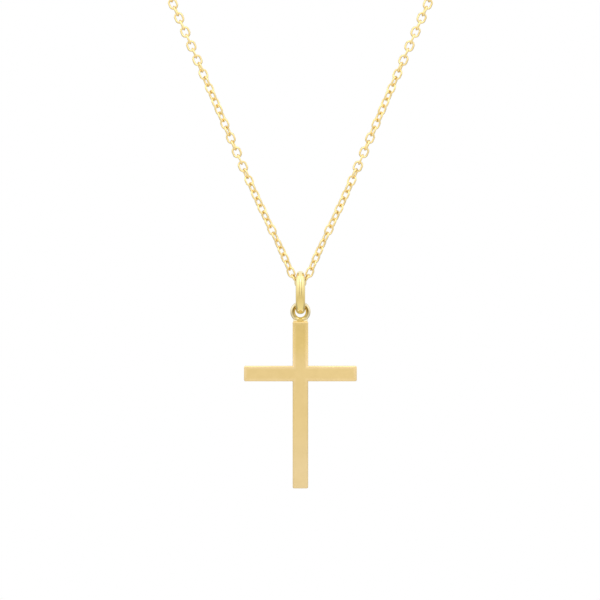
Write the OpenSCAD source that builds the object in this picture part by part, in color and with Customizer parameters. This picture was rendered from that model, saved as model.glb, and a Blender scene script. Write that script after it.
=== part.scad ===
// Flat Latin cross on an oval bail and a fine trace chain. Millimetres, +Z up, front towards -Y.
// The origin is the middle of the neck opening. The pendant hangs in front of it and below it.

/* [Cross] */
// Height of the upright from its top to its foot
cross_h = 24.75; // [18:0.25:32]
// Span from one arm's tip to the other
arm_span = 16.7; // [12:0.1:22]
// Width of the upright and of the arms
bar_w = 2.3; // [1.9:0.1:3]
// Thickness of the gold plate
plate_t = 1.2; // [0.9:0.05:1.6]
// Distance from the top of the upright down to the middle of the arms
arm_drop = 7.75; // [6:0.05:10]
// Width of the bevel along every edge of the plate
bevel = 0.2; // [0.1:0.05:0.3]
// Radius at the corners of the bars, seen from the front
corner_r = 0.25; // [0.1:0.05:0.5]

/* [Ring soldered on the cross] */
// Thickness of the ring's round wire
ring_wire = 0.7; // [0.56:0.02:0.8]
// Room between the ring's hole and the foot of the bail, on each side of the bail
ring_play = 0.235; // [0.15:0.005:0.4]
// How deep the ring's wire is let into the top of the upright
ring_sink = 0.115; // [0.08:0.005:0.3]
// How far the solder at the foot of the ring stays in from the sides of the upright
solder_inset = 0.08; // [0.05:0.01:0.3]

/* [Bail] */
// Thickness of the bail's round wire at the top, where the chain runs through
bail_top_t = 1.05; // [0.8:0.05:1.2]
// Thickness of the bail's round wire halfway down its long sides
bail_side_t = 1.4; // [1.2:0.05:1.6]
// Thickness of the bail's round wire at the foot, where the ring hangs
bail_foot_t = 1.15; // [0.9:0.05:1.3]
// Straight stretch of each long side of the bail, where its wire is thicker
bail_straight = 1.8; // [1.2:0.05:4]
// Room inside the bail's top in front of the chain and behind it
bail_play = 0.525; // [0.4:0.025:0.9]

/* [Chain] */
// Width of the chain over its links
chain_d = 1.45; // [1.2:0.05:1.7]

/* [Clasp at the nape] */
// Outer diameter of the bolt ring
clasp_d = 5; // [4.4:0.1:6.5]
// Thickness of the bolt ring's tube
clasp_wire = 0.9; // [0.7:0.05:1]
// Outer diameter of the eye that holds the chain
eye_d = 2.1; // [1.8:0.1:2.6]
// Outer diameter of the jump ring on the chain's other end
end_ring_d = 3; // [2.8:0.1:4]
// Thickness of the wire of the eye and of the jump ring
small_wire = 0.5; // [0.4:0.02:0.55]

/* [Clearances] */
// Gap between the bail and the ring that hangs on it
seat_gap = 0.05; // [0.03:0.01:0.1]
// Gap between the chain and the bail, and at the chain's two ends
chain_gap = 0.08; // [0.06:0.01:0.2]
// Gap between the bolt ring and the jump ring in it
clasp_gap = 0.1; // [0.06:0.01:0.2]
// Room at each side of the bail where the chain bends up past it
bend_play = 0.15; // [0.1:0.01:0.4]

/* [Hidden] */
gold = [0.87, 0.74, 0.47];
bright_gold = [0.93, 0.84, 0.52];
pale_gold = [0.94, 0.82, 0.6];

// Lowest point of the chain, seen from the middle of the neck opening
chain_low = [0, -54, -100];
// Points that one half of the chain hangs through, seen from its lowest point: out, back and up
route = [
    [2.2, 0, 3.4],
    [6.3, 0.2, 12.3],
    [12.7, 1, 27.1],
    [19.1, 2.6, 41.9],
    [27.2, 6.6, 59.4],
    [36.4, 14.2, 75.8],
    [45.2, 26.4, 88.4],
    [51.4, 41.6, 98.6],
    [53.4, 58.4, 106.2],
    [49.8, 75.2, 111.8],
    [40, 90, 115.8],
    [25.2, 100, 118.2],
];
// Place of the clasp behind and above the chain's lowest point
nape = [105.6, 119.5];
// Lean of the chain's strands from level where they leave the bail
strand_lean = 64.5;
// Rings of the chain's tube: steps round its bend in the bail, and the longest step elsewhere
bend_steps = 3;
ring_step = 6.6;
tube_sides = 8;

// Bail: middle radius and centres of its half turns, with the chain just under its top
bail_in_r = chain_d / 2 + bail_play;
bail_mid_r = bail_in_r + bail_top_t / 2;
bail_top_z = chain_d / 2 + chain_gap - bail_in_r;
bail_foot_z = bail_top_z - bail_straight;

// Ring: its hole round the foot of the bail, hanging on the wire there
ring_hole_r = bail_foot_t / 2 + ring_play;
ring_z = bail_foot_z - bail_mid_r - (ring_play - seat_gap);
cross_top_z = ring_z - ring_hole_r - ring_wire + ring_sink;
solder_h = 0.65 * (ring_wire - ring_sink);
solder_t = 0.8 * ring_wire;
solder_w = bar_w - 2 * solder_inset;
solder_corner = 0.3 * solder_h;

// Chain: radius of its bend under the bail's wire
bend_r = bail_top_t / 2 + chain_d / 2 + bend_play;

// Clasp: how far the bolt ring reaches to its left, and the jump ring to its right
eye_weld = 0.4 * small_wire;
left_reach = clasp_d / 2 + eye_d - eye_weld;
right_reach = clasp_d / 2 - clasp_wire - clasp_gap + end_ring_d - small_wire;
clasp_x = (left_reach - right_reach) / 2;
chain_end_x = (left_reach + right_reach) / 2 + chain_gap;
clasp_at = chain_low + [clasp_x, nape[0], nape[1]];

// A smooth curve through points that are unevenly spaced
function unit(v) = v / norm(v);
function heading(pts, i, first, last) =
    i == 0 ? first :
    i == len(pts) - 1 ? last :
    unit(unit(pts[i + 1] - pts[i]) * norm(pts[i] - pts[i - 1])
        + unit(pts[i] - pts[i - 1]) * norm(pts[i + 1] - pts[i]));
function curve_at(a, b, ta, tb, u) =
    (2 * pow(u, 3) - 3 * pow(u, 2) + 1) * a
    + (pow(u, 3) - 2 * pow(u, 2) + u) * norm(b - a) * ta
    + (3 * pow(u, 2) - 2 * pow(u, 3)) * b
    + (pow(u, 3) - pow(u, 2)) * norm(b - a) * tb;
function steps(a, b) = max(2, ceil(norm(b - a) / ring_step));
function smooth(pts, first, last) = [
    for (i = [0 : len(pts) - 2])
        for (k = [1 : steps(pts[i], pts[i + 1])])
            curve_at(pts[i], pts[i + 1], heading(pts, i, first, last),
                heading(pts, i + 1, first, last), k / steps(pts[i], pts[i + 1]))
];

// The chain's middle line: round the bend in the bail, up the strand and back to the nape
function bend_point(a) = [bend_r * sin(a), 0, bend_r * (1 - cos(a))];
bend = [for (k = [0 : bend_steps]) bend_point(strand_lean * k / bend_steps)];
strand = smooth(
    concat([bend[bend_steps]], route, [[chain_end_x, nape[0], nape[1]]]),
    [cos(strand_lean), 0, sin(strand_lean)],
    [-1, 0, 0]
);
half = concat(bend, strand);
loop = concat(
    [for (i = [len(half) - 1 : -1 : 1]) [-half[i][0], half[i][1], half[i][2]]],
    half
);

// Whole length of the necklace, with its clasp
function run(pts, i) = i == 0 ? 0 : norm(pts[i] - pts[i - 1]) + run(pts, i - 1);
echo(necklace_length = run(loop, len(loop) - 1) + 2 * chain_end_x);

// A tube swept along points, square to each of them. Its sides keep their place round the loop.
side_ref = [0, -1, 1];
function tube_dir(pts, i) = unit(pts[min(i + 1, len(pts) - 1)] - pts[max(i - 1, 0)]);
function tube_ring(p, dir, r) =
    let (u = unit(cross(dir, side_ref)), v = cross(dir, u))
    [for (k = [0 : tube_sides - 1]) p + r * (cos(360 * k / tube_sides) * u + sin(360 * k / tube_sides) * v)];

module tube(pts, r) {
    rings = len(pts);
    polyhedron(
        points = [for (i = [0 : rings - 1]) each tube_ring(pts[i], tube_dir(pts, i), r)],
        faces = concat(
            [[for (k = [0 : tube_sides - 1]) k]],
            [
                for (i = [0 : rings - 2])
                    for (k = [0 : tube_sides - 1])
                        let (a = i * tube_sides, n = (k + 1) % tube_sides)
                        [a + n, a + k, a + tube_sides + k, a + tube_sides + n]
            ],
            [[for (k = [tube_sides - 1 : -1 : 0]) (rings - 1) * tube_sides + k]]
        ),
        convexity = 6
    );
}

// Outlines
module cut_corners(w, h, c) {
    polygon([
        [c - w / 2, -h / 2], [w / 2 - c, -h / 2], [w / 2, c - h / 2], [w / 2, h / 2 - c],
        [w / 2 - c, h / 2], [c - w / 2, h / 2], [-w / 2, h / 2 - c], [-w / 2, c - h / 2],
    ]);
}

module round_corners(w, h, r) {
    square([w - 2 * r, h], center = true);
    square([w, h - 2 * r], center = true);
    for (x = [-1, 1], y = [-1, 1]) {
        translate([x * (w / 2 - r), y * (h / 2 - r)]) circle(r, $fn = 32);
    }
}

// Round wire closed to a ring in the plane seen from the front
module wire_ring(outer_d, wire) {
    rotate([90, 0, 0]) rotate_extrude($fn = 96)
        translate([(outer_d - wire) / 2, 0]) circle(d = wire, $fn = 40);
}

// One bar of the cross, upright, bevelled along its edges and round both ends
module bar(length) {
    intersection() {
        rotate([90, 0, 0]) linear_extrude(plate_t, center = true) round_corners(bar_w, length, corner_r);
        linear_extrude(length, center = true) cut_corners(bar_w, plate_t, bevel);
        rotate([0, 90, 0]) linear_extrude(bar_w, center = true) cut_corners(length, plate_t, bevel);
    }
}

// Solder drawn up round the foot of the ring
module solder() {
    rotate([90, 0, 0]) linear_extrude(solder_t, center = true) polygon([
        [-solder_w / 2, -corner_r], [solder_w / 2, -corner_r], [solder_w / 2, solder_h - solder_corner],
        [solder_w / 2 - solder_corner, solder_h], [solder_corner - solder_w / 2, solder_h],
        [-solder_w / 2, solder_h - solder_corner],
    ]);
}

module cross_plate() {
    color(gold) translate(chain_low) {
        translate([0, 0, cross_top_z - cross_h / 2]) bar(cross_h);
        translate([0, 0, cross_top_z - arm_drop]) rotate([0, 90, 0]) bar(arm_span);
        translate([0, 0, cross_top_z]) solder();
        translate([0, 0, ring_z]) wire_ring(2 * (ring_hole_r + ring_wire), ring_wire);
    }
}

// Half turn of the bail's wire
module bail_turn(t) {
    rotate([90, 0, 90]) rotate_extrude(angle = 180, $fn = 96)
        translate([bail_mid_r, 0]) circle(d = t, $fn = 48);
}

// Straight side of the bail. Its core runs on into the half turns, so that the wire is one solid.
module bail_side() {
    cylinder(h = bail_straight / 2, d1 = bail_foot_t, d2 = bail_side_t, $fn = 48);
    translate([0, 0, bail_straight / 2])
        cylinder(h = bail_straight / 2, d1 = bail_side_t, d2 = bail_top_t, $fn = 48);
    translate([0, 0, -bail_top_t / 4])
        cylinder(h = bail_straight + bail_top_t / 2, d = bail_top_t / 2, $fn = 48);
}

module bail() {
    color(bright_gold) translate(chain_low) {
        translate([0, 0, bail_top_z]) bail_turn(bail_top_t);
        translate([0, 0, bail_foot_z]) rotate([180, 0, 0]) bail_turn(bail_foot_t);
        for (side = [-1, 1]) {
            translate([0, side * bail_mid_r, bail_foot_z]) bail_side();
        }
    }
}

module chain() {
    color(pale_gold) translate(chain_low) tube(loop, chain_d / 2);
}

module clasp() {
    color(pale_gold) translate(clasp_at) {
        wire_ring(clasp_d, clasp_wire);
        translate([eye_weld - clasp_d / 2 - eye_d / 2, 0, 0]) wire_ring(eye_d, small_wire);
    }
}

module end_ring() {
    color(pale_gold) translate(clasp_at + [right_reach - end_ring_d / 2, 0, 0])
        rotate([90, 0, 0]) wire_ring(end_ring_d, small_wire);
}

cross_plate();  // cross
bail();
chain();
clasp();
end_ring();
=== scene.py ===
import math

import bmesh
import bpy
from mathutils import Matrix, Quaternion, Vector


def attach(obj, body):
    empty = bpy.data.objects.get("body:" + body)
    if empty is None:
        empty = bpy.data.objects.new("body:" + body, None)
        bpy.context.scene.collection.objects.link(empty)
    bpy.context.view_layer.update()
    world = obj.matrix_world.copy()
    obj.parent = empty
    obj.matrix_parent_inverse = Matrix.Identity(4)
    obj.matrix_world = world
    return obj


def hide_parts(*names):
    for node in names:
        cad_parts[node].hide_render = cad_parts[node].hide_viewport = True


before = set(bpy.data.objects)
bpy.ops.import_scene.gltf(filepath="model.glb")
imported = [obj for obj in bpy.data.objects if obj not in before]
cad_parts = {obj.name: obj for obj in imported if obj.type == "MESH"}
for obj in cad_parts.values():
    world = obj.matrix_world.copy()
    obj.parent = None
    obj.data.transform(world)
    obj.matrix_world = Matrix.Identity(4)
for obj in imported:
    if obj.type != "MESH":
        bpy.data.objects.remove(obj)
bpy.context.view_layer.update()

# The cross: a flat Latin cross cut from 1.2 mm gold plate, one piece, with every edge rounded over
# by hand polishing. Its two faces are brushed to a fine satin and its edges are left polished. A
# painted highlight makes the rims of its upper part paler, and its colour is a painted gradient of
# the light, paler towards its foot.
# All places below are measured from the lowest point of the chain, where the pendant hangs.
mm = 0.001
chain_low = Vector((0, -54, -100)) * mm
cross_h = 24.75 * mm
arm_span = 16.7 * mm
bar_w = 2.3 * mm
plate_t = 1.2 * mm
arm_drop = 7.75 * mm
corner_r = 0.25 * mm
edge_round = 0.2 * mm
round_steps = 4
rim_w = 0.4 * mm
cross_top = chain_low.z - 5.6 * mm
arm_mid = cross_top - arm_drop
same_place = 0.01 * mm
straight = 0.99
plate_corner = math.radians(60)


def part_box(name, size, centre):
    # A block of gold, ready to be shaped
    bpy.ops.object.select_all(action="DESELECT")
    bpy.ops.mesh.primitive_cube_add(size=1, location=centre)
    piece = bpy.context.object
    piece.name = name
    piece.scale = size
    bpy.ops.object.transform_apply(location=True, rotation=True, scale=True)
    return piece


def shape(piece, mode="VERT"):
    # Opens one piece in edit mode with nothing selected
    bpy.ops.object.select_all(action="DESELECT")
    piece.select_set(True)
    bpy.context.view_layer.objects.active = piece
    bpy.ops.object.mode_set(mode="EDIT")
    bpy.ops.mesh.select_mode(type=mode)
    bpy.ops.mesh.select_all(action="DESELECT")


def pick(piece, kind, test):
    # Selects the vertices, edges or faces whose place or normal passes the test
    mesh = bmesh.from_edit_mesh(piece.data)
    for part in getattr(mesh, kind):
        part.select = bool(test(part))
    mesh.select_flush_mode()
    bmesh.update_edit_mesh(piece.data)


def shaped():
    # Ends the work on the piece that is open
    bpy.ops.object.mode_set(mode="OBJECT")


def apply_modifier(piece, kind, name, **settings):
    modifier = piece.modifiers.new(name, kind)
    for key, value in settings.items():
        setattr(modifier, key, value)
    bpy.context.view_layer.objects.active = piece
    bpy.ops.object.modifier_apply(modifier=modifier.name)


def smooth(piece, angle):
    # Shades a piece smooth, apart from edges that are sharper than the angle, in degrees
    bpy.ops.object.select_all(action="DESELECT")
    piece.select_set(True)
    bpy.context.view_layer.objects.active = piece
    bpy.ops.object.shade_smooth_by_angle(angle=math.radians(angle))


plate = part_box(
    "cross_plate",
    (bar_w, plate_t, cross_h),
    (chain_low.x, chain_low.y, cross_top - cross_h / 2),
)

# The upright is cut level with the arms' two edges, and the arms are drawn out of its sides
shape(plate)
for z in (arm_mid - bar_w / 2, arm_mid + bar_w / 2):
    bpy.ops.mesh.select_all(action="SELECT")
    bpy.ops.mesh.bisect(plane_co=(0, 0, z), plane_no=(0, 0, 1))
for side in (-1, 1):
    bpy.ops.mesh.select_mode(type="FACE")
    pick(plate, "faces", lambda f: f.normal.x * side > straight
         and abs(f.calc_center_median().z - arm_mid) < bar_w / 2)
    bpy.ops.mesh.extrude_region_move(
        TRANSFORM_OT_translate={"value": (side * (arm_span - bar_w) / 2, 0, 0)})


def at_tip(vert):
    # Whether a vertex is at the end of an arm, or at the top or the foot of the upright
    return (abs(vert.co.x) > arm_span / 2 - same_place
            or abs(vert.co.z - cross_top) < same_place
            or abs(vert.co.z - cross_top + cross_h) < same_place)


def along_y(edge):
    return abs((edge.verts[1].co - edge.verts[0].co).normalized().y) > straight


# The outer corners are rounded first, and then the rims of both faces
bpy.ops.mesh.select_mode(type="EDGE")
pick(plate, "edges", lambda e: along_y(e) and all(at_tip(v) for v in e.verts))
bpy.ops.mesh.bevel(offset=corner_r, segments=round_steps, affect="EDGES")
pick(plate, "edges", lambda e: not along_y(e) and e.is_manifold
     and e.calc_face_angle() > plate_corner)
bpy.ops.mesh.bevel(offset=edge_round, segments=round_steps, affect="EDGES")
shaped()
smooth(plate, angle=40)
apply_modifier(plate, "WEIGHTED_NORMAL", "even_faces", keep_sharp=True)


def shader_nodes(name):
    material = bpy.data.materials.new(name)
    material.use_nodes = True
    nodes = material.node_tree.nodes
    nodes.clear()
    return material, nodes, material.node_tree.links


def node(nodes, kind, x, y, **settings):
    made = nodes.new(kind)
    made.location = (x, y)
    for key, value in settings.items():
        setattr(made, key, value)
    return made


def new_group(name, inputs, outputs):
    # An empty node group with its named inputs (with their values) and outputs
    group = bpy.data.node_groups.new(name, "ShaderNodeTree")
    for label, kind, value in inputs:
        made = group.interface.new_socket(name=label, in_out="INPUT", socket_type=kind)
        if value is not None:
            made.default_value = value
    for label, kind in outputs:
        group.interface.new_socket(name=label, in_out="OUTPUT", socket_type=kind)
    return group


# Gold finish: fine brushing along one axis and soft handling marks, as masks between 0 and 1.
# Nearly all values of a noise lie between the two that are spread here.
noise_low = 0.3
noise_high = 0.7
finish_group = new_group(
    "worked_gold",
    [("Place", "NodeSocketVector", None),
     ("Stretch", "NodeSocketVector", (1.0, 1.0, 1.0)),
     ("Line scale", "NodeSocketFloat", 9000.0),
     ("Haze scale", "NodeSocketFloat", 700.0)],
    [("Lines", "NodeSocketFloat"), ("Haze", "NodeSocketFloat")],
)
nodes = finish_group.nodes
links = finish_group.links
group_in = node(nodes, "NodeGroupInput", -900, 0)
group_out = node(nodes, "NodeGroupOutput", 500, 0)
stretched = node(nodes, "ShaderNodeVectorMath", -650, 150, operation="MULTIPLY")
links.new(group_in.outputs["Place"], stretched.inputs[0])
links.new(group_in.outputs["Stretch"], stretched.inputs[1])
brushing = node(nodes, "ShaderNodeTexNoise", -400, 150, noise_dimensions="3D")
brushing.inputs["Detail"].default_value = 3
brushing.inputs["Roughness"].default_value = 0.6
links.new(stretched.outputs[0], brushing.inputs["Vector"])
links.new(group_in.outputs["Line scale"], brushing.inputs["Scale"])
haze = node(nodes, "ShaderNodeTexNoise", -400, -200, noise_dimensions="3D")
haze.inputs["Detail"].default_value = 4
haze.inputs["Distortion"].default_value = 0.4
links.new(group_in.outputs["Place"], haze.inputs["Vector"])
links.new(group_in.outputs["Haze scale"], haze.inputs["Scale"])
for made, label, y in ((brushing, "Lines", 150), (haze, "Haze", -200)):
    spread = node(nodes, "ShaderNodeMapRange", 0, y, clamp=True)
    spread.inputs["From Min"].default_value = noise_low
    spread.inputs["From Max"].default_value = noise_high
    links.new(made.outputs["Fac"], spread.inputs["Value"])
    links.new(spread.outputs["Result"], group_out.inputs[label])

# Height of a place between two levels of a piece, as a mask between 0 and 1
level_group = new_group(
    "height_level",
    [("Place", "NodeSocketVector", None),
     ("Low", "NodeSocketFloat", -0.13),
     ("High", "NodeSocketFloat", -0.105)],
    [("Level", "NodeSocketFloat")],
)
nodes = level_group.nodes
links = level_group.links
group_in = node(nodes, "NodeGroupInput", -600, 0)
group_out = node(nodes, "NodeGroupOutput", 300, 0)
apart = node(nodes, "ShaderNodeSeparateXYZ", -350, 100)
rise = node(nodes, "ShaderNodeMapRange", -100, 0, clamp=True)
links.new(group_in.outputs["Place"], apart.inputs[0])
links.new(apart.outputs["Z"], rise.inputs["Value"])
links.new(group_in.outputs["Low"], rise.inputs["From Min"])
links.new(group_in.outputs["High"], rise.inputs["From Max"])
links.new(rise.outputs["Result"], group_out.inputs["Level"])


def band(nodes, links, value, low, high, x, y):
    # A soft step from 0 at the low value to 1 at the high one, or back where low is the larger
    made = node(nodes, "ShaderNodeMapRange", x, y, clamp=True, interpolation_type="SMOOTHSTEP")
    made.inputs["From Min"].default_value = low
    made.inputs["From Max"].default_value = high
    links.new(value, made.inputs["Value"])
    return made.outputs["Result"]


def calc(nodes, links, kind, a, b, x, y):
    # A sum with two values, each of them a plain number or the output of another node
    made = node(nodes, "ShaderNodeMath", x, y, operation=kind)
    for value, socket in ((a, made.inputs[0]), (b, made.inputs[1])):
        if isinstance(value, float):
            socket.default_value = value
        else:
            links.new(value, socket)
    return made.outputs[0]


# Rim of the cross: 1 at its outline, falling to 0 a little way inside it
rim_group = new_group(
    "cross_rim",
    [("Place", "NodeSocketVector", None)],
    [("Rim", "NodeSocketFloat")],
)
nodes = rim_group.nodes
links = rim_group.links
group_in = node(nodes, "NodeGroupInput", -900, 0)
group_out = node(nodes, "NodeGroupOutput", 700, 0)
apart = node(nodes, "ShaderNodeSeparateXYZ", -700, 0)
links.new(group_in.outputs["Place"], apart.inputs[0])
x_off = calc(nodes, links, "ABSOLUTE", apart.outputs["X"], 0.0, -500, 300)
z_off = calc(nodes, links, "SUBTRACT", apart.outputs["Z"], arm_mid, -500, 100)
arm_off = calc(nodes, links, "ABSOLUTE", z_off, 0.0, -350, 100)
mid_off = calc(nodes, links, "SUBTRACT", apart.outputs["Z"], cross_top - cross_h / 2, -500, -100)
end_off = calc(nodes, links, "ABSOLUTE", mid_off, 0.0, -350, -100)
depths = []
for (a, reach_a), (b, reach_b), y in (
    ((x_off, bar_w / 2), (end_off, cross_h / 2), 300),
    ((arm_off, bar_w / 2), (x_off, arm_span / 2), -100),
):
    inside_a = calc(nodes, links, "SUBTRACT", reach_a, a, -150, y + 100)
    inside_b = calc(nodes, links, "SUBTRACT", reach_b, b, -150, y - 100)
    depths.append(calc(nodes, links, "MINIMUM", inside_a, inside_b, 0, y))
depth = calc(nodes, links, "MAXIMUM", depths[0], depths[1], 150, 0)
rim = band(nodes, links, depth, edge_round + rim_w, edge_round, 350, 0)
links.new(rim, group_out.inputs["Rim"])


def tint(nodes, links, shown, factor, colour, x, y):
    # Multiplies a colour by another one where the factor is 1
    made = node(nodes, "ShaderNodeMix", x, y, data_type="RGBA", blend_type="MULTIPLY")
    made.inputs["B"].default_value = (*colour, 1)
    links.new(shown, made.inputs["A"])
    links.new(factor, made.inputs["Factor"])
    return made.outputs["Result"]


def colour_stops(nodes, stops, x, y):
    made = node(nodes, "ShaderNodeValToRGB", x, y)
    made.color_ramp.interpolation = "EASE"
    while len(made.color_ramp.elements) < len(stops):
        made.color_ramp.elements.new(0.5)
    for element, (place, colour) in zip(made.color_ramp.elements, stops):
        element.position = place
        element.color = (*colour, 1)
    return made


def even_tone(*colour):
    return [(0.0, colour), (1.0, colour)]


# What handling does to the gold's colour, and the painted highlights and painted shade laid on it,
# as shares of its red, green and blue. The rims get a painted highlight over this part of the
# cross's height, and a surface is satin where it faces the front or the back as squarely as this.
haze_tone = (0.95, 0.94, 0.90)
rim_highlight_tone = (1.12, 1.14, 1.36)
flank_shade_tone = (0.29, 0.21, 0.07)
outer_highlight_tone = (0.95, 1.02, 1.4)
rim_highlight_part = (0.5, 0.8)
satin_facing = (0.9, 0.99)
bump_strength = 0.6


def gold(name, tones, rough, haze_scale, bump, stretch=(1.0, 1.0, 1.0), low=-1, high=1,
         edge_gloss=None, ring_at=None):
    # Gold: one metal, whose colour and gloss change a little over its surface. Its tones run from
    # the low height to the high one and are painted light where they change, and the brushing is
    # drawn out where stretch is small.
    material, nodes, links = shader_nodes(name)
    out = node(nodes, "ShaderNodeOutputMaterial", 900, 0)
    metal = node(nodes, "ShaderNodeBsdfPrincipled", 600, 0)
    metal.inputs["Metallic"].default_value = 1
    links.new(metal.outputs["BSDF"], out.inputs["Surface"])
    place = node(nodes, "ShaderNodeTexCoord", -900, 0)
    worked = node(nodes, "ShaderNodeGroup", -600, 0)
    worked.node_tree = finish_group
    worked.inputs["Stretch"].default_value = stretch
    worked.inputs["Haze scale"].default_value = haze_scale
    links.new(place.outputs["Object"], worked.inputs["Place"])
    level = node(nodes, "ShaderNodeGroup", -600, 300)
    level.node_tree = level_group
    level.inputs["Low"].default_value = low
    level.inputs["High"].default_value = high
    links.new(place.outputs["Object"], level.inputs["Place"])
    colour = colour_stops(nodes, tones, -350, 350)
    links.new(level.outputs["Level"], colour.inputs["Fac"])
    shown = tint(nodes, links, colour.outputs["Color"], worked.outputs["Haze"], haze_tone, 0, 300)
    gloss = node(nodes, "ShaderNodeMapRange", -250, -50, clamp=True)
    gloss.inputs["To Min"].default_value = rough[0]
    gloss.inputs["To Max"].default_value = rough[1]
    links.new(worked.outputs["Lines"], gloss.inputs["Value"])
    roughness = gloss.outputs["Result"]
    if edge_gloss is not None:
        # The two faces are satin, and the rounded edges are polished. A painted highlight makes the
        # rims of the upper part paler.
        rim = node(nodes, "ShaderNodeGroup", -350, 600)
        rim.node_tree = rim_group
        links.new(place.outputs["Object"], rim.inputs["Place"])
        upper = band(nodes, links, level.outputs["Level"], *rim_highlight_part, -350, 800)
        rim_highlight = calc(nodes, links, "MULTIPLY", rim.outputs["Rim"], upper, -100, 700)
        shown = tint(nodes, links, shown, rim_highlight, rim_highlight_tone, 200, 400)
        facing = node(nodes, "ShaderNodeSeparateXYZ", -600, -350)
        links.new(place.outputs["Normal"], facing.inputs[0])
        front = calc(nodes, links, "ABSOLUTE", facing.outputs["Y"], 0.0, -400, -350)
        face = node(nodes, "ShaderNodeMapRange", -250, -350, clamp=True)
        face.inputs["From Min"].default_value = satin_facing[0]
        face.inputs["From Max"].default_value = satin_facing[1]
        links.new(front, face.inputs["Value"])
        mixed = node(nodes, "ShaderNodeMix", 50, -100, data_type="FLOAT")
        mixed.inputs["A"].default_value = edge_gloss
        links.new(face.outputs["Result"], mixed.inputs["Factor"])
        links.new(roughness, mixed.inputs["B"])
        roughness = mixed.outputs["Result"]
    if ring_at is not None:
        # Painted shade on the ring's inner flanks at its sides, and a painted highlight on its
        # outer edge
        ring_light = node(nodes, "ShaderNodeGroup", -600, 700)
        ring_light.node_tree = ring_group
        ring_light.inputs["Centre"].default_value = ring_at
        links.new(place.outputs["Object"], ring_light.inputs["Place"])
        shown = tint(nodes, links, shown, ring_light.outputs["Flank shade"], flank_shade_tone, 200, 600)
        shown = tint(nodes, links, shown, ring_light.outputs["Outer"], outer_highlight_tone, 400, 600)
    links.new(shown, metal.inputs["Base Color"])
    links.new(roughness, metal.inputs["Roughness"])
    dent = node(nodes, "ShaderNodeBump", 300, -300)
    dent.inputs["Distance"].default_value = bump
    dent.inputs["Strength"].default_value = bump_strength
    links.new(worked.outputs["Lines"], dent.inputs["Height"])
    links.new(dent.outputs["Normal"], metal.inputs["Normal"])
    return material


def dress(piece, material):
    piece.data.materials.clear()
    piece.data.materials.append(material)


# The cross's tones are painted light: paler towards its foot and darker towards its top
satin_gold = gold(
    "satin_gold",
    tones=[
        (0.0, (0.825, 0.64, 0.335)),
        (0.12, (0.82, 0.635, 0.33)),
        (0.45, (0.80, 0.603, 0.275)),
        (0.73, (0.80, 0.602, 0.272)),
        (0.87, (0.735, 0.542, 0.20)),
        (1.0, (0.70, 0.515, 0.19)),
    ],
    low=cross_top - cross_h,
    high=cross_top,
    rough=(0.30, 0.42),
    stretch=(1.0, 1.0, 0.06),
    haze_scale=420,
    bump=0.002 * mm,
    edge_gloss=0.26,
)
dress(plate, satin_gold)
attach(plate, "cross")
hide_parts("cross")

# The ring on top of the cross: round gold wire bent to a closed ring, let a little way into the
# top of the upright. The bail hangs in it, so the cross can swing from side to side.
ring_wire = 0.7 * mm
ring_side_wire = 0.73 * mm
ring_steps = 72
ring_wire_sides = 24
ring_hole_r = 0.81 * mm
ring_mid = chain_low + Vector((0, 0, -4.205)) * mm
seam_gap = 0.002 * mm


def wire_end(name, radius, place, sides):
    # The round end of a wire that lies flat, ready to be spun round an axis level with it
    bpy.ops.object.select_all(action="DESELECT")
    bpy.ops.mesh.primitive_circle_add(vertices=sides, radius=radius, location=place)
    piece = bpy.context.object
    piece.name = name
    bpy.ops.object.transform_apply(location=True, rotation=True, scale=True)
    return piece


def merge_seams():
    bpy.ops.mesh.select_all(action="SELECT")
    bpy.ops.mesh.remove_doubles(threshold=seam_gap)


def close_loop():
    # Ends the work on a loop of wire: its last seams are merged and its faces point outwards
    merge_seams()
    bpy.ops.mesh.normals_make_consistent(inside=False)
    shaped()


def angle_round_ring(place):
    return math.atan2(place.z - ring_mid.z, place.x - ring_mid.x)


wire_mid = ring_mid + Vector((ring_hole_r + ring_wire / 2, 0, 0))
ring = wire_end("cross_ring", ring_wire / 2, wire_mid, ring_wire_sides)
shape(ring)
bpy.ops.mesh.select_all(action="SELECT")
bpy.ops.mesh.spin(steps=ring_steps, angle=2 * math.pi, center=ring_mid, axis=(0, 1, 0))
merge_seams()
for k in range(ring_steps):
    # The wire is a little stouter at the ring's two sides, where it was drawn less
    angle = 2 * math.pi * k / ring_steps
    out = Vector((math.cos(angle), 0, math.sin(angle)))
    pick(ring, "verts", lambda v: abs(
        math.remainder(angle_round_ring(v.co) - angle, 2 * math.pi)) < 1 / ring_steps)
    stout = 1 + (ring_side_wire / ring_wire - 1) * out.x ** 2
    bpy.ops.transform.resize(
        value=(stout, stout, stout), center_override=ring_mid + out * (ring_hole_r + ring_wire))
close_loop()
smooth(ring, angle=60)

# Painted light on the ring: painted shade darkens its inner flanks at the two sides, and a painted
# highlight makes its outer edge paler.
# The first three are distances from the ring's middle. The next two say how far sideways, and how
# far up, a place lies from it, and the dark flanks are weaker towards the foot.
flank_from_inside = (0.92 * mm, 1.04 * mm)
flank_from_outside = (1.26 * mm, 1.12 * mm)
outer_edge = (1.18 * mm, 1.36 * mm)
sideways_part = (0.55, 0.75)
upward_part = (-0.55, 0.3)
foot_strength = 0.55
ring_group = new_group(
    "ring_painted_light",
    [("Place", "NodeSocketVector", None), ("Centre", "NodeSocketVector", (0.0, 0.0, 0.0))],
    [("Flank shade", "NodeSocketFloat"), ("Outer", "NodeSocketFloat")],
)
nodes = ring_group.nodes
links = ring_group.links
group_in = node(nodes, "NodeGroupInput", -1100, 0)
group_out = node(nodes, "NodeGroupOutput", 500, 0)
from_mid = node(nodes, "ShaderNodeVectorMath", -900, 0, operation="SUBTRACT")
links.new(group_in.outputs["Place"], from_mid.inputs[0])
links.new(group_in.outputs["Centre"], from_mid.inputs[1])
in_plane = node(nodes, "ShaderNodeVectorMath", -700, 0, operation="MULTIPLY")
in_plane.inputs[1].default_value = (1, 0, 1)
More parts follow.
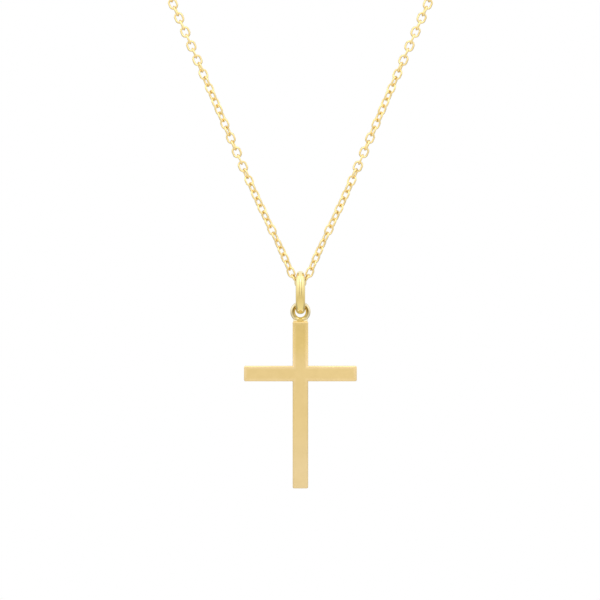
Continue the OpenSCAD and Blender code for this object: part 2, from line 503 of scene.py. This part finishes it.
links.new(from_mid.outputs[0], in_plane.inputs[0])
reach = node(nodes, "ShaderNodeVectorMath", -500, 0, operation="LENGTH")
links.new(in_plane.outputs[0], reach.inputs[0])
outward = node(nodes, "ShaderNodeVectorMath", -500, -250, operation="NORMALIZE")
links.new(in_plane.outputs[0], outward.inputs[0])
outward_parts = node(nodes, "ShaderNodeSeparateXYZ", -300, -250)
links.new(outward.outputs[0], outward_parts.inputs[0])
outward_x = calc(nodes, links, "ABSOLUTE", outward_parts.outputs["X"], 0.0, -150, -250)
inner_side = band(nodes, links, reach.outputs["Value"], *flank_from_inside, -300, 250)
outer_side = band(nodes, links, reach.outputs["Value"], *flank_from_outside, -300, 50)
at_sides = band(nodes, links, outward_x, *sideways_part, 0, -250)
flank = calc(nodes, links, "MULTIPLY", inner_side, outer_side, 0, 150)
flank_shade = calc(nodes, links, "MULTIPLY", flank, at_sides, 150, 100)
height = band(nodes, links, outward_parts.outputs["Z"], *upward_part, 0, -450)
strength = calc(nodes, links, "MULTIPLY_ADD", height, 1 - foot_strength, 150, -350)
strength.node.inputs[2].default_value = foot_strength
links.new(calc(nodes, links, "MULTIPLY", flank_shade, strength, 300, 0), group_out.inputs["Flank shade"])
# Painted highlight on the ring's outer edge
outer_highlight = band(nodes, links, reach.outputs["Value"], *outer_edge, 0, 400)
links.new(outer_highlight, group_out.inputs["Outer"])

# The ring's colour carries painted shade on its inner flanks and a painted highlight on its outer
# edge
ring_gold = gold(
    "ring_gold",
    tones=even_tone(0.79, 0.64, 0.30),
    rough=(0.05, 0.10),
    haze_scale=900,
    bump=0.001 * mm,
    ring_at=ring_mid,
)
dress(ring, ring_gold)
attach(ring, "cross")
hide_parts("cross")

# The foot of the ring: a low polished saddle on top of the upright, as wide as the upright, that
# the ring stands in, and the gold solder that has run down the front and the back of the ring.
saddle_w = 2.14 * mm
saddle_t = 0.86 * mm
saddle_h = 0.38 * mm
saddle_ridge = 0.3
saddle_round = 0.1 * mm
foot_sink = 0.22 * mm
mound_corner = math.radians(30)


def mound(name, width, depth, height, ridge_w, ridge_d, round_off):
    # A low block let into the upright, with its top drawn in and its upper edges rounded over
    piece = part_box(
        name,
        (width, depth, height + foot_sink),
        (chain_low.x, chain_low.y, cross_top + (height - foot_sink) / 2),
    )
    shape(piece, "FACE")
    pick(piece, "faces", lambda f: f.normal.z > straight)
    bpy.ops.transform.resize(
        value=(ridge_w, ridge_d, 1), center_override=(chain_low.x, chain_low.y, cross_top))
    bpy.ops.mesh.select_mode(type="EDGE")
    pick(piece, "edges", lambda e: e.calc_face_angle() > mound_corner
         and e.verts[0].co.z + e.verts[1].co.z > 2 * cross_top - foot_sink)
    bpy.ops.mesh.bevel(offset=round_off, segments=round_steps, affect="EDGES")
    shaped()
    smooth(piece, angle=60)
    return piece


saddle = mound("cross_saddle", saddle_w, saddle_t, saddle_h, 1, saddle_ridge, saddle_round)
saddle_gold = gold(
    "saddle_gold",
    tones=even_tone(0.67, 0.58, 0.355),
    rough=(0.14, 0.22),
    haze_scale=1500,
    bump=0.001 * mm,
)
dress(saddle, saddle_gold)
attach(saddle, "cross")
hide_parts("cross")

solder_w = 1.12 * mm
solder_t = 0.84 * mm
solder_h = 0.42 * mm
solder_ridge_w = 0.62
solder_ridge_t = 0.86
solder_round = 0.12 * mm
solder = mound(
    "cross_solder", solder_w, solder_t, solder_h, solder_ridge_w, solder_ridge_t, solder_round)
solder_gold = gold(
    "solder_gold",
    tones=even_tone(0.56, 0.41, 0.13),
    rough=(0.25, 0.38),
    haze_scale=2500,
    bump=0.006 * mm,
)
dress(solder, solder_gold)
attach(solder, "cross")
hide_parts("cross")

# The bail: one long closed loop of polished gold wire that joins the ring to the chain. Its wire
# is stoutest halfway down and thinner at the top, where the chain runs through, and at the foot,
# in the ring.
side_wire = 1.4 * mm
top_wire = 1.05 * mm
top_width = 1.18 * mm
foot_wire = 1.12 * mm
foot_width = 1.38 * mm
bail_mid = chain_low + Vector((0, 0, -1.345)) * mm
half_height = 2.675 * mm
half_depth = 1.775 * mm
thick_part = 0.9 * mm
bow = math.radians(12)
bail_wire_sides = 32
turn_steps = 36
side_steps = 8
tone_reach = 3.2 * mm
section_reach = 0.51 * side_wire
late_thinning = 3

# The sides are bowed a little: arcs of a large radius that run into the two tight turns
flat = (1 - math.cos(bow)) / math.cos(bow)
tight = (1 - math.sin(bow)) / math.cos(bow)
side_r = (half_height - half_depth * tight) / (math.sin(bow) - flat * (1 - math.sin(bow)))
turn_r = half_depth / math.cos(bow) - side_r * flat
turn_rise = (side_r - turn_r) * math.sin(bow)

bail = wire_end("bail_loop", side_wire / 2, bail_mid + Vector((0, half_depth, 0)), bail_wire_sides)
shape(bail)
bpy.ops.mesh.select_all(action="SELECT")
sections = []
place = Vector((0, half_depth, 0))
for centre, angle, steps in (
    (Vector((0, half_depth - side_r, 0)), bow, side_steps // 2),
    (Vector((0, 0, turn_rise)), math.pi - 2 * bow, turn_steps),
    (Vector((0, side_r - half_depth, 0)), 2 * bow, side_steps),
    (Vector((0, 0, -turn_rise)), math.pi - 2 * bow, turn_steps),
    (Vector((0, half_depth - side_r, 0)), bow, side_steps // 2),
):
    bpy.ops.mesh.spin(steps=steps, angle=-angle, center=bail_mid + centre, axis=(1, 0, 0))
    for k in range(steps):
        place = centre + Matrix.Rotation(angle / steps, 3, "X") @ (place - centre)
        sections.append((place, Vector((1, 0, 0)).cross(place - centre).normalized()))
merge_seams()
for place, way in sections:
    # Draws the wire thinner, section by section: late towards the top, evenly towards the foot
    near = max(0, (abs(place.z) - thick_part) / (half_height - thick_part))
    if place.z > 0:
        wide, thick, near = top_width, top_wire, near ** late_thinning
    else:
        wide, thick = foot_width, foot_wire
    wide = 1 - (1 - wide / side_wire) * near
    thick = 1 - (1 - thick / side_wire) * near
    pick(bail, "verts", lambda v: (v.co - bail_mid - place).length < section_reach
         and abs((v.co - bail_mid - place).dot(way)) < same_place)
    bpy.ops.transform.resize(value=(wide, thick, thick), center_override=bail_mid + place)
close_loop()
smooth(bail, angle=60)
# The bail's tones are painted highlights: pale lemon at its foot in the ring, darkest a little
# below the middle and paler again towards the top
polished_gold = gold(
    "polished_gold",
    tones=[
        (0.0, (1.0, 0.93, 0.5)),
        (0.06, (0.95, 0.83, 0.42)),
        (0.13, (0.85, 0.69, 0.28)),
        (0.38, (0.80, 0.615, 0.23)),
        (0.55, (0.84, 0.68, 0.29)),
        (0.8, (0.85, 0.72, 0.37)),
        (1.0, (0.86, 0.75, 0.42)),
    ],
    low=bail_mid.z - tone_reach,
    high=bail_mid.z + tone_reach,
    rough=(0.05, 0.10),
    stretch=(1.0, 1.0, 0.2),
    haze_scale=800,
    bump=0.001 * mm,
)
dress(bail, polished_gold)
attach(bail, "bail")
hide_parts("bail")

# The chain: a fine trace chain of 391 oval links, each bent from 0.32 mm gold wire and closed.
# Every link stands a quarter turn from the next, and the whole chain twists slowly on its way up.
# It hangs in two strands from the bail, goes round the neck and hooks into the clasp and its ring.
link_l = 1.79 * mm
link_w = 1.45 * mm
link_wire = 0.32 * mm
link_sides = 14
wire_sides = 6
links_each_side = 195
hook_x = 3.53 * mm

# The route of one strand in millimetres from the chain's lowest point, as the frame has it
route = [
    (2.16, 0, 3.46),
    (6.3, 0.2, 12.3),
    (12.7, 1, 27.1),
    (19.1, 2.6, 41.9),
    (27.2, 6.6, 59.4),
    (36.4, 14.2, 75.8),
    (45.2, 26.4, 88.4),
    (51.4, 41.6, 98.6),
    (53.4, 58.4, 106.2),
    (49.8, 75.2, 111.8),
    (40, 90, 115.8),
    (25.2, 100, 118.2),
    (4.28, 105.6, 119.5),
]
nape = Vector((hook_x, 105.6 * mm, 119.5 * mm))

bpy.ops.object.select_all(action="DESELECT")
bpy.ops.mesh.primitive_torus_add(
    major_segments=link_sides,
    minor_segments=wire_sides,
    major_radius=(link_w - link_wire) / 2,
    minor_radius=link_wire / 2,
    location=(0, 0, 0),
)
link = bpy.context.object
link.name = "chain_link"
shape(link)
for side in (-1, 1):
    pick(link, "verts", lambda v: v.co.x * side > 0)
    bpy.ops.transform.translate(value=(side * (link_l - link_w) / 2, 0, 0))
shaped()
smooth(link, angle=180)

# Each link holds the next one by its end, and a little play keeps the two wires from touching.
# The first two links of a strand stand at their own angles from upright, and the middle link, which
# the bail hangs on, is lifted a little.
inner_reach = (link_l - link_wire) / 2
link_play = 0.003 * mm
pitch_half = inner_reach - link_wire / 2 - link_play / 2
bend_play = 0.015 * mm
inner_end = inner_reach - link_wire - bend_play
first_lean = math.radians(35)
second_lean = math.radians(22)
strand_lean = math.radians(25)
lift = Vector((0, 0, 0.07)) * mm


def lean(angle):
    return Vector((math.sin(angle), 0, math.cos(angle)))


first_top = lift + Vector((inner_end, 0, 0)) + 2 * inner_reach * lean(first_lean)
first_mid = first_top - inner_reach * lean(first_lean)
second_mid = first_top + inner_end * lean(second_lean)
strand_start = second_mid + pitch_half * lean(second_lean)


def heading(points, i, first, last):
    # The way that the line takes through one of its points
    if i == 0:
        return first
    if i == len(points) - 1:
        return last
    ahead = points[i + 1] - points[i]
    back = points[i] - points[i - 1]
    return (ahead.normalized() * back.length + back.normalized() * ahead.length).normalized()


def smooth_run(points, first, last, steps):
    # A smooth line of many short steps through points that are unevenly spaced
    run = [points[0]]
    for i in range(len(points) - 1):
        a, b = points[i], points[i + 1]
        reach = (b - a).length
        leave = heading(points, i, first, last) * reach
        arrive = heading(points, i + 1, first, last) * reach
        for k in range(1, steps + 1):
            u = k / steps
            run.append((2 * u ** 3 - 3 * u ** 2 + 1) * a + (u ** 3 - 2 * u ** 2 + u) * leave
                       + (3 * u ** 2 - 2 * u ** 3) * b + (u ** 3 - u ** 2) * arrive)
    return run


run_steps = 80
to_middle = Vector((-1, 0, 0))
run = smooth_run(
    [strand_start] + [Vector(p) * mm for p in route],
    lean(strand_lean),
    to_middle,
    run_steps,
)
run.append(nape)
lengths = [0]
for a, b in zip(run, run[1:]):
    lengths.append(lengths[-1] + (b - a).length)
last_reach = pitch_half + inner_reach
taut_pitch = 2 * pitch_half
taut_links = 48
loose_links = links_each_side - 3 - taut_links
loose_pitch = (lengths[-1] - last_reach - taut_links * taut_pitch) / loose_links


def point_at(length):
    # The point of the run at that length from its start
    for i in range(1, len(run)):
        if lengths[i] >= length or i == len(run) - 1:
            part = (length - lengths[i - 1]) / (lengths[i] - lengths[i - 1])
            return run[i - 1].lerp(run[i], min(part, 1))


# The links pull tight in front, and lie a hair closer together on the way round to the nape
joints = [
    point_at(min(k, taut_links) * taut_pitch + max(0, k - taut_links) * loose_pitch)
    for k in range(links_each_side - 2)
]
stations = [(first_mid, lean(first_lean)), (second_mid, lean(second_lean))]
for a, b in zip(joints, joints[1:]):
    stations.append(((a + b) / 2, (b - a).normalized()))
stations.append((nape - to_middle * inner_reach, to_middle))

# The chain's twist, in degrees, at some of its links counted from the bail
twist_at = [
    (0, 12), (1, 36), (2, 30), (3, 44), (4, 42), (5, 56), (6, 25), (7, 28), (8, 38),
    (9, 52), (12, 50), (14, 62), (17, 90), (23, 124), (32, 178), (40, 192),
]
last_twisted, full_twist = twist_at[-1]


def twist(k):
    # The twist of one link, in radians
    for (a, turn_a), (b, turn_b) in zip(twist_at, twist_at[1:]):
        if k <= b:
            return math.radians(turn_a + (turn_b - turn_a) * (k - a) / (b - a))
    return math.radians(full_twist)


def lay_links(side, last_face):
    # Places of one side's links. Each carries on the turn of the one before it, plus a quarter
    # turn and the chain's slow twist, which is rounded off so that the last link fits its hook.
    flip = Vector((side, 1, 1))
    places = []
    face = Vector((0, -1, 0))
    before = Vector((side, 0, 0))
    faces = []
    for mid, along in stations:
        along = (along * flip).normalized()
        face = before.rotation_difference(along) @ face
        face = (face - face.dot(along) * along).normalized()
        faces.append((mid * flip, along, face))
        before = along
    count = len(faces)
    turns = [math.pi / 2 * (k + 1) + side * twist(k) for k in range(count)]
    mid, along, face = faces[-1]
    ended = Quaternion(along, turns[-1]) @ face
    short = math.atan2(along.dot(ended.cross(last_face)), ended.dot(last_face))
    # A link looks the same after half a turn, so the missing turn is never more than a quarter
    if short > math.pi / 2:
        short -= math.pi
    if short < -math.pi / 2:
        short += math.pi
    for k, (mid, along, face) in enumerate(faces):
        late = max(0, k - last_twisted) / (count - 1 - last_twisted)
        turned = Quaternion(along, turns[k] + short * late) @ face
        across = turned.cross(along)
        places.append(Matrix((along, across, turned)).transposed().to_4x4())
        places[-1].translation = chain_low + mid
    return places


# The middle link carries the bail. It lies from side to side, with its opening to the front.
middle = Matrix(((1, 0, 0), (0, 0, 1), (0, -1, 0))).to_4x4()
middle.translation = chain_low + lift
places = [middle]
places += lay_links(-1, Vector((0, 0, 1)))
places += lay_links(1, Vector((0, 1, 0)))

# All links are copies of the first one, each with its own mesh, and are joined to one chain
copies = []
for k, place in enumerate(places):
    copy = link.copy()
    copy.data = link.data.copy()
    copy.name = f"link_{k}"
    copy.matrix_world = place
    bpy.context.collection.objects.link(copy)
    copies.append(copy)
bpy.data.objects.remove(link)
bpy.ops.object.select_all(action="DESELECT")
for copy in copies:
    copy.select_set(True)
bpy.context.view_layer.objects.active = copies[0]
bpy.ops.object.join()
chain = bpy.context.object
chain.name = "chain_links"
bpy.ops.object.transform_apply(location=True, rotation=True, scale=True)
chain_gold = gold(
    "chain_gold",
    tones=even_tone(0.93, 0.74, 0.36),
    rough=(0.12, 0.20),
    haze_scale=600,
    bump=0.001 * mm,
)
dress(chain, chain_gold)
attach(chain, "necklace")
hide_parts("chain")

# The clasp and the ring it closes in, at the nape: plain gold, as the photograph hides them.
# They stay as the frame gives them, and only take the chain's finish.
for name in ("clasp", "end_ring"):
    dress(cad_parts[name], chain_gold)

# Floor, light and camera: a plain pale floor under the necklace, one large soft light from above
# and in front, and a white room round it. The camera looks level at the pendant from far away.
floor_drop = 0.085
floor_r = 0.3
floor_sides = 96
floor_tone = (0.86, 0.86, 0.85, 1)
floor_dullness = 0.7
aim = chain_low + Vector((-0.06, 0, -2.47)) * mm
camera_distance = 1.0
view_width = 88.8 * mm
room_strength = 1.55
front_ends = -0.1
back_starts = 0.35
softbox_place = (0.05, -0.45, 0.25)
softbox_w = 0.3
softbox_h = 0.2
softbox_power = 0.15

bpy.ops.object.select_all(action="DESELECT")
bpy.ops.mesh.primitive_circle_add(
    vertices=floor_sides,
    radius=floor_r,
    fill_type="NGON",
    location=(0, 0, aim.z - floor_drop),
)
floor = bpy.context.object
floor.name = "floor"
bpy.ops.object.transform_apply(location=True, rotation=True, scale=True)
floor_pale, nodes, links = shader_nodes("floor_pale")
floor_out = node(nodes, "ShaderNodeOutputMaterial", 300, 0)
floor_skin = node(nodes, "ShaderNodeBsdfPrincipled", 0, 0)
floor_skin.inputs["Base Color"].default_value = floor_tone
floor_skin.inputs["Roughness"].default_value = floor_dullness
links.new(floor_skin.outputs["BSDF"], floor_out.inputs["Surface"])
dress(floor, floor_pale)
floor.visible_glossy = False

world = bpy.data.worlds.new("white_room")
bpy.context.scene.world = world
world.use_nodes = True
nodes = world.node_tree.nodes
links = world.node_tree.links
nodes.clear()
sky_out = node(nodes, "ShaderNodeOutputWorld", 900, 0)
seen = node(nodes, "ShaderNodeLightPath", 300, 400)
both = node(nodes, "ShaderNodeMixShader", 700, 0)
white = node(nodes, "ShaderNodeBackground", 450, -200)
white.inputs["Color"].default_value = (1, 1, 1, 1)
room = node(nodes, "ShaderNodeBackground", 450, 100)
room.inputs["Color"].default_value = (1, 1, 1, 1)
way = node(nodes, "ShaderNodeTexCoord", -900, 0)
parts = node(nodes, "ShaderNodeSeparateXYZ", -700, 0)
links.new(way.outputs["Generated"], parts.inputs[0])


def ramp(stops, x, y):
    # Shades of grey from 0 to 1
    return colour_stops(nodes, [(place, (value, value, value)) for place, value in stops], x, y)


# Brightness of the room from straight below (0) to straight above (1), in front of the necklace
# and behind it: a wide soft light high in front, and a darker floor behind. Two narrow dark gaps
# beside the camera are what a polished wire mirrors as thin lines.
front = ramp([(0.0, 0.66), (0.3, 0.64), (0.4, 0.58), (0.5, 0.66), (0.55, 0.74),
              (0.66, 0.95), (0.75, 1.0), (0.95, 1.0), (1.0, 0.8)], -300, 300)
back = ramp([(0.0, 0.80), (0.08, 0.70), (0.2, 0.30), (0.35, 0.30), (0.45, 0.60), (0.55, 0.66),
             (0.70, 0.70), (0.95, 0.75), (1.0, 0.8)], -300, 0)
height = node(nodes, "ShaderNodeMapRange", -500, 300, clamp=True)
height.inputs["From Min"].default_value = -1
height.inputs["From Max"].default_value = 1
links.new(parts.outputs["Z"], height.inputs["Value"])
for made in (front, back):
    links.new(height.outputs["Result"], made.inputs["Fac"])
depth = node(nodes, "ShaderNodeMapRange", -500, 0, clamp=True, interpolation_type="SMOOTHSTEP")
depth.inputs["From Min"].default_value = front_ends
depth.inputs["From Max"].default_value = back_starts
links.new(parts.outputs["Y"], depth.inputs["Value"])
walls = node(nodes, "ShaderNodeMix", 0, 200, data_type="FLOAT")
links.new(depth.outputs["Result"], walls.inputs["Factor"])
links.new(front.outputs["Color"], walls.inputs["A"])
links.new(back.outputs["Color"], walls.inputs["B"])
sideways = calc(nodes, links, "ABSOLUTE", parts.outputs["X"], 0.0, -500, -300)
gap = ramp([(0.0, 0.0), (0.34, 0.0), (0.38, 0.8), (0.50, 0.8), (0.54, 0.0), (1.0, 0.0)],
           -300, -300)
links.new(sideways, gap.inputs["Fac"])
gap_height = ramp([(0.0, 0.0), (0.40, 0.0), (0.49, 0.8), (0.84, 1.0), (0.92, 0.0), (1.0, 0.0)],
                  -300, -600)
links.new(height.outputs["Result"], gap_height.inputs["Fac"])
dark = calc(nodes, links, "MULTIPLY", gap.outputs["Color"], gap_height.outputs["Color"], -50, -300)
lit = calc(nodes, links, "SUBTRACT", 1.0, dark, 50, -100)
bright = calc(nodes, links, "MULTIPLY", walls.outputs["Result"], lit, 100, 100)
room_light = calc(nodes, links, "MULTIPLY", bright, room_strength, 250, 100)
links.new(room_light, room.inputs["Strength"])
links.new(seen.outputs["Is Camera Ray"], both.inputs["Fac"])
links.new(room.outputs["Background"], both.inputs[1])
links.new(white.outputs["Background"], both.inputs[2])
links.new(both.outputs["Shader"], sky_out.inputs["Surface"])

bpy.ops.object.light_add(type="AREA", location=softbox_place)
softbox = bpy.context.object
softbox.name = "softbox"
softbox.data.shape = "RECTANGLE"
softbox.data.size = softbox_w
softbox.data.size_y = softbox_h
softbox.data.energy = softbox_power
softbox.rotation_euler = (aim - softbox.location).to_track_quat("-Z", "Y").to_euler()

bpy.ops.object.camera_add(
    location=aim + Vector((0, -camera_distance, 0)), rotation=(math.pi / 2, 0, 0))
camera = bpy.context.object
camera.name = "camera"
camera.data.sensor_width = 36
camera.data.lens = camera.data.sensor_width * camera_distance / view_width
camera.data.clip_start = 0.01
camera.data.clip_end = 100
bpy.context.scene.camera = camera
bpy.context.scene.view_settings.view_transform = "Standard"
